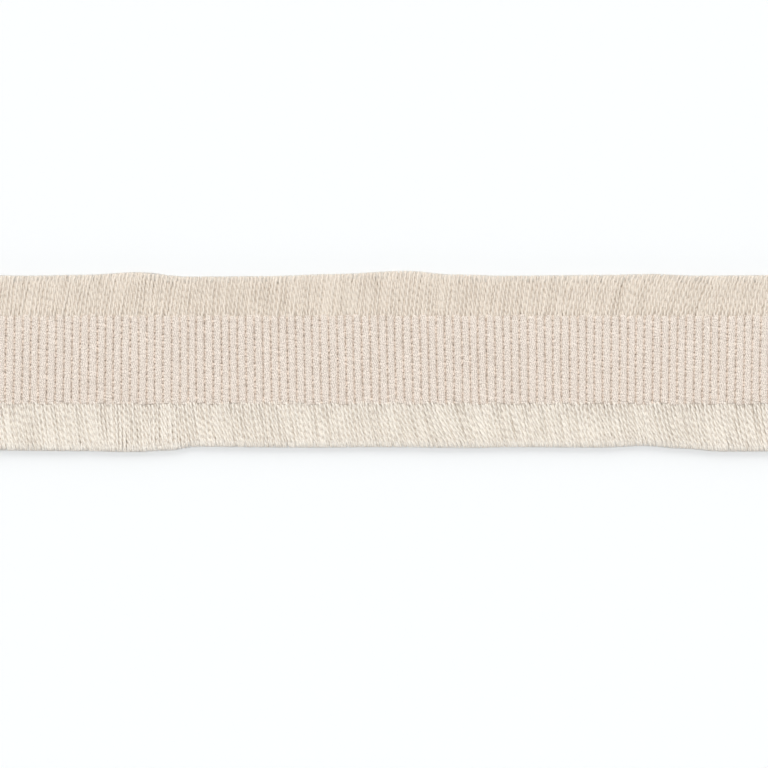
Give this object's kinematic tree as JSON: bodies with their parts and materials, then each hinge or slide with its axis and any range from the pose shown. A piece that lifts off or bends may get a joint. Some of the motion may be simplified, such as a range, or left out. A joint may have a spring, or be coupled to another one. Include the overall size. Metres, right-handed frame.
{
  "type": "braid trim",
  "caption": "Flat braid trim lying face up: a ribbed twill-woven band with a short twisted-yarn brush fringe along both edges.",
  "frame": {"origin": "on the surface that the trim lies on, under the middle of its outline", "axes": "+X along the trim, +Y across it towards the upper fringe, +Z out of its face"},
  "size_m": [0.1936, 0.0414, 0.002],
  "materials": {
    "band_cloth": "twill weave over thick ribs, warm cream",
    "fringe_yarn": "soft two-ply twisted yarn, warm cream"
  },
  "bodies": {
    "root": {"woven_band": "band_cloth", "upper_fringe": "fringe_yarn", "lower_fringe": "fringe_yarn"}
  },
  "joints": []
}
